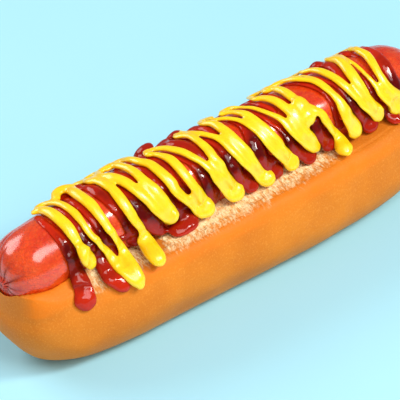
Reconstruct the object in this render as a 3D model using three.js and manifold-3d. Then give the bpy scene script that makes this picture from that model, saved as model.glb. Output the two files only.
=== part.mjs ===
// A hot dog: a sausage in a cut bun, with zigzags of ketchup and mustard piped over it.
// Millimetres, +Z up. X runs along the bun, -Y is the side that the sauce hangs down furthest.
// The origin is under the middle of the bun, on the surface that it rests on.
import * as THREE from 'three';
import { mergeVertices } from 'three/addons/utils/BufferGeometryUtils.js';
import Module from 'manifold-3d';

// ---- driving dimensions ----
const GAP = 0.3;                    // clearance between pieces that touch
const LEFT_DROP = 4;                // how far bun and sausage sag at their ends
const RIGHT_DROP = 2.5;

const BUN_LENGTH = 184;
const BUN_WIDTH = 57;
const BUN_HEIGHT = 33;              // to the edge of the crust
const BUN_BASE_ROUND = 17;          // rounding between the flat base and the side
const BUN_LEAN = 3;                 // how far the side leans in above its widest line
const BUN_RIM_ROUND = 4.5;          // rounding of the crust's top edge
const BUN_LEFT_ROUND = 3.4;         // plan outline exponents: larger is squarer
const BUN_RIGHT_ROUND = 2.9;
const BUN_SIDE_ROUND = 3.1;

const LIP_OUT = 11.4;               // where the crumb ledge meets the sausage
const LIP_HEIGHT = 34.3;
const LEDGE_EDGE = 24.6;            // where the ledge ends in the crust's edge
const LEDGE_FALL = 1.6;             // how much lower the ledge is at that edge

const SAUSAGE_LENGTH = 181;
const SAUSAGE_RADIUS = 12.3;
const SAUSAGE_HEIGHT = 40;          // height of its axis at mid-length
const SAUSAGE_END = 17;             // length of each domed end
const DOME_START = 0.22;            // share of the dome's quarter turn that the knot takes up
const KNOT_RADIUS = 2.2;            // twisted knot of skin at the very end
const KNOT_DIMPLE = 1.4;            // depth of the dimple around it
const DIMPLE_FALL = 3.2;            // how fast that dimple fades out over the dome
const KNOT_PROFILE = [              // share of knot radius, share of dimple depth
  [0, 0.35], [0.6, 0.5], [1, 1.3],
];

const FAR_REACH = 9;                // how far down the far side the piped turns go
const TOP_REACH = 2;                // where a leg's second and third points lie,
const SHOULDER_REACH = 12;          // measured across from the crest of the sausage
const WAIST_SHARE = 0.55;           // share of the run from shoulder to near end, half-way down
const TURN_DROOP = 2.5;             // the most that a far turn hangs below the far reach
const TURN_SLACK = 1 / 3;           // droop of a narrow far turn, as a share of its span
const TURN_CORNER = 0.2;            // share of the span where a far turn is at its lowest
const VALLEY_ROUND = 5;             // rounding where the sauce turns onto the ledge

// Beads of sauce: half width, thickness, height of the underside over the sausage and over
// the bun, growth towards the near end, and the spacing of their sections.
const MUSTARD = { half: 2.1, thick: 2.1, over: 2.3, under: 0.5, swell: 1.5, step: 4.8 };
const KETCHUP = { half: 3.0, thick: 0.9, over: 0.85, under: 0.85, swell: 1.25, step: 5.3 };
const REST_FROM = 18;               // across which the mustard comes down from ketchup to bun
const REST_TO = 25;
const BEAD_SECTION = [              // share of half width, share of thickness
  [-0.75, 0], [0.75, 0], [1, 0.45], [0.5, 0.95], [-0.5, 0.95], [-1, 0.45],
];
const SWELL_FROM = 0.65;            // share of a bead's length where it starts to swell
const CAP_SHARE = 0.6;              // length of a bead's pointed ends, in half widths
const TURN_WIDTH = 0.95;            // widths of the pieces that join the legs
const KETCHUP_EDGE_WIDTH = 0.8;
const KETCHUP_EDGE_WAVE = 1.2;
const RUN_WIDTH = 0.95;
const RUN_SWELL = 1.1;
const DROP_WIDTH = 0.85;            // a drop's width and height, as shares of its radius
const DROP_HEIGHT = 0.7;            // and of the sauce's thickness

// Each leg of sauce crosses the sausage from the far side to the near side. A row holds its
// place along the bun at the far turn, the crest, the shoulder and the near end, then how far
// across the near end lies, then its width as a share of the sauce's usual width.
const MUSTARD_LEGS = [
  [-71.5, -70, -68, -66.6, 23, 0.85], [-67.5, -64, -63, -55.3, 39.5, 0.85],
  [-60, -57, -55.3, -54, 36, 1.1], [-51.5, -47.6, -47.8, -44, 35.5, 1.1],
  [-46.5, -43, -39, -33, 23, 0.95], [-41.5, -37, -33.3, -30.5, 23, 1.1],
  [-34.5, -31, -28.2, -18.5, 26, 1], [-27, -23.3, -22, -16.5, 26, 1],
  [-21.5, -15.5, -12, -6.5, 26, 1], [-12, -10, -6.3, -3.8, 26, 0.9],
  [-7, -2.4, 1.2, 7, 27.5, 1.1], [0.5, 1.2, 4, 9.5, 27.5, 0.9],
  [5, 9, 13.2, 19.5, 27, 1.1], [10, 13.7, 15.5, 21, 27, 0.9],
  [16, 19.7, 24.5, 31, 25.5, 0.9], [22, 26.3, 28.2, 32.8, 25.5, 1.1],
  [29, 31.5, 36.5, 42.5, 31, 0.95], [38.5, 42, 45, 49.5, 26.5, 1.1],
  [41, 43.6, 46.6, 50, 26, 0.6], [46, 49.3, 52.7, 61, 26, 1],
  [57, 57.3, 57.7, 61.5, 25.5, 1.05], [60.5, 61, 63, 69, 27, 0.7],
  [66, 68, 68, 70.5, 27.5, 1.05],
];
const MUSTARD_FAR_TURNS = [
  [0, 1], [2, 3], [3, 4], [5, 6], [7, 8], [9, 10], [11, 12], [13, 14], [15, 16],
  [16, 17], [18, 19], [20, 21], [21, 22],
];
const MUSTARD_DROPS = [             // along, across, radius
  [-65.8, 24.6, 3.6], [32.6, 10.5, 3.5],
];

const KETCHUP_LEGS = [
  [-77, -75.3, -73.2, -70.5, 27, 1], [-70, -66.5, -64.5, -60.5, 36, 1.05],
  [-62, -60, -58.6, -57, 36, 0.9], [-56, -52, -50.5, -48.5, 25, 1.15],
  [-47, -44, -42, -37.5, 26, 1], [-39, -34, -28.5, -24.5, 27, 0.95],
  [-25, -20, -16, -12, 24, 1.15], [-17, -12.5, -9.5, -6, 21, 0.8],
  [-9, -4, -0.5, 3, 26.5, 1.05], [2, 6, 9.5, 15.5, 26.5, 1.15],
  [15, 19, 23, 28.5, 26.5, 1], [25, 29.5, 34.5, 38.8, 27, 1],
  [33, 38, 42.5, 46, 24, 0.7], [44, 47, 50.5, 56, 27, 1],
  [52, 54.5, 55.5, 58, 20, 0.8], [57, 60.5, 64, 66.5, 28.5, 0.95],
  [68, 71.3, 71.8, 75, 27, 0.9],
];
const KETCHUP_NEAR_RUNS = [         // pools and drips off the near ends: [along, across] pairs
  [[-70.5, 26], [-71.5, 31], [-75, 37.5]],
  [[-60.5, 36], [-58, 39.5], [-56.5, 36]],
  [[-37.5, 25], [-33, 28], [-28.5, 30], [-24.2, 27.5]],
];

// ---- materials ----
const crust = new THREE.MeshStandardMaterial({ color: 0xe8903c, roughness: 0.55, metalness: 0 });
const skin = new THREE.MeshStandardMaterial({ color: 0xd9502e, roughness: 0.35, metalness: 0 });
const red = new THREE.MeshStandardMaterial({ color: 0xa81c10, roughness: 0.2, metalness: 0 });
const yellow = new THREE.MeshStandardMaterial({ color: 0xf8d21c, roughness: 0.35, metalness: 0 });

// ---- solids ----
const wasm = await Module();
wasm.setup();

function toManifold(geometry) {
  const shared = geometry.clone();
  shared.deleteAttribute('normal');
  shared.deleteAttribute('uv');
  const merged = mergeVertices(shared, 1e-4);
  return new wasm.Manifold(new wasm.Mesh({
    numProp: 3,
    vertProperties: new Float32Array(merged.attributes.position.array),
    triVerts: new Uint32Array(merged.index.array),
  }));
}

function toGeometry(manifold) {
  const mesh = manifold.getMesh();
  const geometry = new THREE.BufferGeometry();
  geometry.setAttribute('position', new THREE.BufferAttribute(mesh.vertProperties, 3));
  geometry.setIndex(new THREE.BufferAttribute(mesh.triVerts, 1));
  return geometry;
}

function largestBody(manifold) {
  return manifold.decompose().sort((a, b) => b.volume() - a.volume())[0];
}

// Closed skin over a row of rings that all have the same number of points.
function ringSolid(rings, firstTip, lastTip) {
  const count = rings[0].length;
  const points = [firstTip, ...rings.flat(), lastTip];
  const last = points.length - 1;
  const faces = [];
  for (let k = 0; k < count; k++) {
    const next = (k + 1) % count;
    faces.push(0, 1 + next, 1 + k);
    for (let ring = 0; ring < rings.length - 1; ring++) {
      const a = 1 + ring * count;
      const b = a + count;
      faces.push(a + k, a + next, b + next, a + k, b + next, b + k);
    }
    const end = 1 + (rings.length - 1) * count;
    faces.push(end + k, end + next, last);
  }
  const geometry = new THREE.BufferGeometry().setFromPoints(points);
  geometry.setIndex(faces);
  return geometry;
}

// ---- bun and sausage ----
function sag(x) {
  return (x < 0 ? LEFT_DROP : RIGHT_DROP) * Math.abs(2 * x / BUN_LENGTH) ** 4;
}

function bunOutline(inset, height, grow, count = 44) {
  const halfLength = BUN_LENGTH / 2 - inset + grow;
  const halfWidth = BUN_WIDTH / 2 - inset + grow;
  const ring = [];
  for (let k = 0; k < count; k++) {
    const turn = 2 * Math.PI * (k + 0.5) / count;
    const along = Math.cos(turn);
    const side = Math.sin(turn);
    const round = along < 0 ? BUN_LEFT_ROUND : BUN_RIGHT_ROUND;
    const x = halfLength * Math.sign(along) * Math.abs(along) ** (2 / round);
    const y = halfWidth * Math.sign(side) * Math.abs(side) ** (2 / BUN_SIDE_ROUND);
    const settled = height * (1 - sag(x) / BUN_HEIGHT);
    ring.push(new THREE.Vector3(x, y, settled));
  }
  return ring;
}

// The whole loaf, before the sausage's trough is cut. A grown copy trims what lies on it.
function loaf(grow) {
  const rings = [];
  const steps = 4;
  for (let k = 0; k <= steps; k++) {
    const turn = Math.PI / 2 * k / steps;
    rings.push(bunOutline(BUN_BASE_ROUND * (1 - Math.sin(turn)),
      BUN_BASE_ROUND * (1 - Math.cos(turn)) - (k ? 0 : grow), grow));
  }
  const shoulder = BUN_HEIGHT - BUN_RIM_ROUND;
  for (const share of [0.5, 1]) {
    const height = BUN_BASE_ROUND + share * (shoulder - BUN_BASE_ROUND);
    rings.push(bunOutline(BUN_LEAN * share ** 2, height, grow));
  }
  for (const degrees of [30, 60, 90]) {
    const turn = degrees * Math.PI / 180;
    rings.push(bunOutline(BUN_LEAN + BUN_RIM_ROUND * (1 - Math.cos(turn)),
      shoulder + BUN_RIM_ROUND * Math.sin(turn) + grow, grow));
  }
  const lipInset = BUN_WIDTH / 2 - LIP_OUT + GAP;
  rings.push(bunOutline(lipInset, LIP_HEIGHT + grow, grow));
  const top = new THREE.Vector3(0, 0, LIP_HEIGHT + grow);
  return ringSolid(rings, new THREE.Vector3(0, 0, -grow), top);
}

// Rotated about the sausage's axis. A grown copy leaves out the knots and their dimples.
function sausageProfile(grow) {
  const radius = SAUSAGE_RADIUS + grow;
  const half = SAUSAGE_LENGTH / 2 + grow;
  const knot = KNOT_PROFILE.map(([out, deep]) => new THREE.Vector2(KNOT_RADIUS * out,
    KNOT_DIMPLE * deep));
  const start = grow ? knot.slice(0, 1) : knot;
  const dome = 6;
  for (let k = 1; k <= dome; k++) {
    const turn = Math.PI / 2 * THREE.MathUtils.lerp(DOME_START, 1, k / dome);
    const dimple = grow ? 0 : KNOT_DIMPLE * Math.exp(-((k / dome * DIMPLE_FALL) ** 2));
    start.push(new THREE.Vector2(radius * Math.sin(turn),
      SAUSAGE_END * (1 - Math.cos(turn)) + dimple));
  }
  const profile = start.map((p) => new THREE.Vector2(p.x, p.y - half));
  const straight = 12;
  for (let k = 1; k < straight; k++) {
    profile.push(new THREE.Vector2(radius,
      (2 * k / straight - 1) * (half - SAUSAGE_END)));
  }
  start.reverse().forEach((p) => profile.push(new THREE.Vector2(p.x, half - p.y)));
  profile[0].x = 0;
  profile[profile.length - 1].x = 0;
  return profile;
}

function sausageSolid(grow) {
  const geometry = new THREE.LatheGeometry(sausageProfile(grow), 26);
  geometry.rotateZ(-Math.PI / 2);
  const position = geometry.attributes.position;
  for (let k = 0; k < position.count; k++) {
    const settled = SAUSAGE_HEIGHT - sag(position.getX(k));
    position.setZ(k, position.getZ(k) + settled);
  }
  return toManifold(geometry);
}

// ---- the surface that sauce lies on ----
// Half of its cross-section, outwards from the crest: over the sausage, round the valley at
// its foot, out along the ledge, over the crust's edge and down the bun's side.
function drape(across, lift) {
  const fall = Math.atan2(LEDGE_FALL, LEDGE_EDGE - LIP_OUT);
  const out = new THREE.Vector2(Math.cos(fall), -Math.sin(fall));
  const up = new THREE.Vector2(Math.sin(fall), Math.cos(fall));
  const axis = new THREE.Vector2(0, SAUSAGE_HEIGHT);
  const lip = new THREE.Vector2(LIP_OUT, LIP_HEIGHT);
  const radius = SAUSAGE_RADIUS + lift;
  const base = lip.clone().addScaledVector(up, lift + VALLEY_ROUND).sub(axis);
  const along = base.dot(out);
  const reach = Math.sqrt(along ** 2 - base.lengthSq() + (radius + VALLEY_ROUND) ** 2) - along;
  const valley = base.addScaledVector(out, reach).add(axis);
  const foot = Math.atan2(valley.x - axis.x, valley.y - axis.y);

  let left = Math.abs(across);
  if (left < radius * foot) {
    const turn = left / radius;
    return axis.clone().add(new THREE.Vector2(Math.sin(turn), Math.cos(turn))
      .multiplyScalar(radius));
  }
  left -= radius * foot;
  const bend = VALLEY_ROUND * (foot - fall);
  if (left < bend) {
    const turn = foot - left / VALLEY_ROUND;
    return valley.clone().sub(new THREE.Vector2(Math.sin(turn), Math.cos(turn))
      .multiplyScalar(VALLEY_ROUND));
  }
  left -= bend;
  const ledge = valley.clone().addScaledVector(up, -VALLEY_ROUND);
  const rim = lip.clone().addScaledVector(out, (LEDGE_EDGE - BUN_RIM_ROUND - LIP_OUT) / out.x)
    .addScaledVector(up, -BUN_RIM_ROUND);
  const flat = rim.clone().sub(ledge).dot(out);
  if (left < flat) return ledge.addScaledVector(out, left);
  left -= flat;
  const turn = fall + Math.min(left / (BUN_RIM_ROUND + lift), Math.PI / 2 - fall);
  const side = rim.add(new THREE.Vector2(Math.sin(turn), Math.cos(turn))
    .multiplyScalar(BUN_RIM_ROUND + lift));
  side.y -= Math.max(0, left - (Math.PI / 2 - fall) * (BUN_RIM_ROUND + lift));
  return side;
}

function drapePoint(x, across, lift) {
  const p = drape(across, lift);
  return new THREE.Vector3(x, across < 0 ? p.x : -p.x, p.y - sag(x) * p.y / SAUSAGE_HEIGHT);
}

// ---- piped sauce ----
function underside(sauce, across) {
  const rest = THREE.MathUtils.smoothstep(across, REST_FROM, REST_TO);
  return THREE.MathUtils.lerp(sauce.over, sauce.under, rest);
}

// A bead along a route of [along, across] points. It swells towards its last point. A bead
// that crosses the sausage keeps its flat underside level along X, so that it lies close.
function bead(route, sauce, width, grow, swell, crossing = true) {
  const curve = new THREE.SplineCurve(route.map(([x, across]) => new THREE.Vector2(x, across)));
  const count = Math.max(2, Math.round(curve.getLength() / sauce.step));
  const places = curve.getSpacedPoints(count);
  const feet = places.map((p) => drapePoint(p.x, p.y, underside(sauce, p.y)));
  const rings = feet.map((foot, k) => {
    const before = feet[Math.max(k - 1, 0)];
    const after = feet[Math.min(k + 1, count)];
    const forward = after.clone().sub(before).normalize();
    const above = drapePoint(places[k].x, places[k].y, underside(sauce, places[k].y) + 1);
    const side = crossing ? new THREE.Vector3(1, 0, 0)
      : new THREE.Vector3().crossVectors(above.sub(foot), forward).normalize();
    const upward = new THREE.Vector3().crossVectors(forward, side).normalize();
    const size = 1 + (swell - 1) * THREE.MathUtils.smoothstep(k / count, SWELL_FROM, 1);
    return BEAD_SECTION.map(([outward, height]) => foot.clone()
      .addScaledVector(side, outward * (sauce.half * width * size + grow))
      .addScaledVector(upward, height * (sauce.thick * size + 2 * grow) - grow));
  });
  const cap = sauce.half * width * CAP_SHARE + grow;
  const middle = (ring) => ring.reduce((sum, p) => sum.add(p), new THREE.Vector3())
    .divideScalar(ring.length);
  const ends = [middle(rings[0]), middle(rings[count])];
  const first = feet[0].clone().sub(feet[1]).setLength(cap).add(ends[0]);
  const last = feet[count].clone().sub(feet[count - 1]).setLength(cap * swell).add(ends[1]);
  return toManifold(ringSolid(rings, first, last));
}

function legRoute([far, top, shoulder, near, reach]) {
  const waist = (SHOULDER_REACH + reach) / 2;
  return [
    [far, -FAR_REACH], [top, TOP_REACH], [shoulder, SHOULDER_REACH],
    [shoulder + (near - shoulder) * WAIST_SHARE, waist], [near, reach],
  ];
}

function farTurnRoute(legs, [from, to]) {
  const a = legs[from][0];
  const b = legs[to][0];
  const low = -FAR_REACH - Math.min(TURN_DROOP, Math.abs(b - a) * TURN_SLACK);
  const corner = (b - a) * TURN_CORNER;
  return [[a, 1 - FAR_REACH], [a + corner, low], [b - corner, low], [b, 1 - FAR_REACH]];
}

function drop([x, across, radius], sauce, grow) {
  const ball = new THREE.SphereGeometry(1, 10, 7);
  const height = sauce.thick * DROP_HEIGHT;
  ball.scale(radius * DROP_WIDTH + grow, radius + grow, height + grow);
  const foot = drapePoint(x, across, underside(sauce, across));
  const normal = drapePoint(x, across, underside(sauce, across) + 1).sub(foot).normalize();
  const tilt = new THREE.Quaternion().setFromUnitVectors(new THREE.Vector3(0, 0, 1), normal);
  ball.applyQuaternion(tilt);
  foot.addScaledVector(normal, height);
  ball.translate(foot.x, foot.y, foot.z);
  return toManifold(ball);
}

function mustardSolid(grow) {
  const pieces = MUSTARD_LEGS.map((leg) => bead(legRoute(leg), MUSTARD, leg[5], grow,
    MUSTARD.swell));
  MUSTARD_FAR_TURNS.forEach((pair) => {
    pieces.push(bead(farTurnRoute(MUSTARD_LEGS, pair), MUSTARD, TURN_WIDTH, grow, 1, false));
  });
  MUSTARD_DROPS.forEach((place) => pieces.push(drop(place, MUSTARD, grow)));
  return pieces.reduce((sum, piece) => sum.add(piece));
}

function ketchupSolid(grow) {
  const pieces = KETCHUP_LEGS.map((leg) => bead(legRoute(leg), KETCHUP, leg[5], grow,
    KETCHUP.swell));
  const farEdge = KETCHUP_LEGS.map(([far], k) => [far,
    -FAR_REACH - (k % 2 ? 0 : KETCHUP_EDGE_WAVE)]);
  pieces.push(bead(farEdge, KETCHUP, KETCHUP_EDGE_WIDTH, grow, 1, false));
  KETCHUP_NEAR_RUNS.forEach((route) => {
    pieces.push(bead(route, KETCHUP, RUN_WIDTH, grow, RUN_SWELL, false));
  });
  return pieces.reduce((sum, piece) => sum.add(piece));
}

// ---- assembly ----
const sausageRoom = sausageSolid(GAP);
const loafRoom = toManifold(loaf(GAP));

const bun = toManifold(loaf(0)).subtract(sausageRoom);
const sausage = sausageSolid(0);
const mustard = largestBody(mustardSolid(0).subtract(sausageRoom).subtract(loafRoom));
const ketchup = largestBody(ketchupSolid(0).subtract(mustardSolid(GAP))
  .subtract(sausageRoom).subtract(loafRoom));

const group = new THREE.Group();
const pieces = [['bun', bun, crust], ['sausage', sausage, skin], ['ketchup', ketchup, red],
  ['mustard', mustard, yellow]];
for (const [name, solid, material] of pieces) {
  const mesh = new THREE.Mesh(toGeometry(solid), material);
  mesh.name = name;
  group.add(mesh);
}

export default group;
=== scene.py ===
import math

import bmesh
import bpy
import numpy as np
from mathutils import Matrix, Vector, kdtree, noise


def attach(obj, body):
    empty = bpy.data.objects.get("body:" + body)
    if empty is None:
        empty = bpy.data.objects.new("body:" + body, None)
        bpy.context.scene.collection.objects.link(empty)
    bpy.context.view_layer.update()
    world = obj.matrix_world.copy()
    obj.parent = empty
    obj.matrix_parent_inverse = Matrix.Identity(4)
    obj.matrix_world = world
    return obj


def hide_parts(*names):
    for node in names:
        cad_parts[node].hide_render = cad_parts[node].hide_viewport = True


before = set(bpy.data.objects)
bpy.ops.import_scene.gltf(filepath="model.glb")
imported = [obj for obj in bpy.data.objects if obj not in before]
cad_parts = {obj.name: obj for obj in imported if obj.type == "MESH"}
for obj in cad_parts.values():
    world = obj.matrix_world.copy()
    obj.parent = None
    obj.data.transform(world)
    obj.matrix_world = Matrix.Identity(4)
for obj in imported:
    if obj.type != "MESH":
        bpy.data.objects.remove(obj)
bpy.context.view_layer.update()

# ---- sizes, in millimetres unless named otherwise ----
MM = 0.001
GAP = 0.3
LEFT_DROP, RIGHT_DROP = 4.0, 2.5

# The bun: its outline and rounded edges, and the fuller wall and narrow waist of its left end.
BUN_LENGTH, BUN_WIDTH, BUN_HEIGHT = 184.0, 57.0, 33.0
BUN_BASE_ROUND, BUN_RIM_ROUND, END_TUCK = 17.0, 7.5, 1.4
BUN_LEFT_ROUND, BUN_RIGHT_ROUND, BUN_SIDE_ROUND = 3.0, 3.2, 3.1
BUN_COLUMNS, OUTLINE_STEPS = 740, 12000
BASE_ROWS, WALL_ROWS, RIM_ROWS, TOP_ROWS, TROUGH_ROWS = 6, 26, 34, 31, 12
END_BULGE, END_FULLNESS, BULGE_RISE = 2.0, 0.68, (9, 26)
WAIST, WAIST_AT, WAIST_LONG = 0.035, -33, 22
HOLLOW, HOLLOW_AT, HOLLOW_LONG = 1.3, -23, 26
CRUMB_START, CRUMB_END, CRUMB_WANDER = (-46, -30), (30, 52), 9

# The lip beside the sausage, and the ledge that falls from it to the rim.
LIP_OUT, LIP_HEIGHT = 11.4, 34.3
LEDGE_EDGE, LEDGE_FALL = 24.6, 1.6

# The sausage: the radius that sauce lies over, and its skin, which is a little fuller.
SAUSAGE_LENGTH, SAUSAGE_RADIUS, SAUSAGE_HEIGHT, SAUSAGE_END = 181.4, 12.3, 40.0, 17.0
SKIN_RADIUS, LEFT_BLUNTNESS, RIGHT_BLUNTNESS = 12.9, 3.1, 2.15
KNOT_RADIUS = 2.2
LEFT_REACH = 1.5
SAUSAGE_COLUMNS, TIP_ROWS, MIDDLE_ROWS = 190, 74, 150
PUCKER_FOLDS, PUCKER_DROOP, FOLD_DEPTH = 13, 0.6, 1.2

# The sauces: flatness of a bead, what is added to its half width, and rounds of smoothing.
VALLEY_ROUND, BEAD_STEP, BEAD_SIDES = 5.0, 0.7, 18
SAUCE_VOXEL, FUSE_SWELL, FUSE_ROUNDS = 0.42, 0.15, 3
MUSTARD_FLATNESS, MUSTARD_EXTRA, MUSTARD_ROUNDS, FILL_ROUNDS = 0.7, 0.15, 4, 14
KETCHUP_FLATNESS, KETCHUP_EXTRA, KETCHUP_ROUNDS = 0.55, 0.2, 5

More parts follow.
